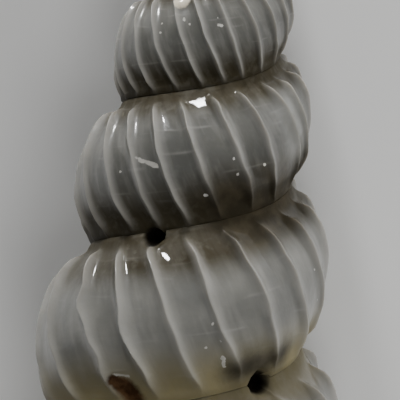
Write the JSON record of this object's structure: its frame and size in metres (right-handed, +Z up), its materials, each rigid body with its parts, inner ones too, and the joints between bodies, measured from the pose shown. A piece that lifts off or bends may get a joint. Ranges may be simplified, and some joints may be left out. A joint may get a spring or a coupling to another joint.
{
  "type": "wentletrap shell",
  "caption": "Slender spiral sea shell with rounded ribbed whorls, deep seams between them and a round open mouth, lying on its side.",
  "frame": {"origin": "middle of the shell's bounding box, on the surface that it lies on", "axes": "+Z up, +Y along the shell towards its tip, +X to the side that the mouth is on"},
  "size_m": [0.0084, 0.0228, 0.0076],
  "materials": {
    "shell": "glossy"
  },
  "bodies": {
    "root": {"shell": "shell"}
  },
  "joints": []
}
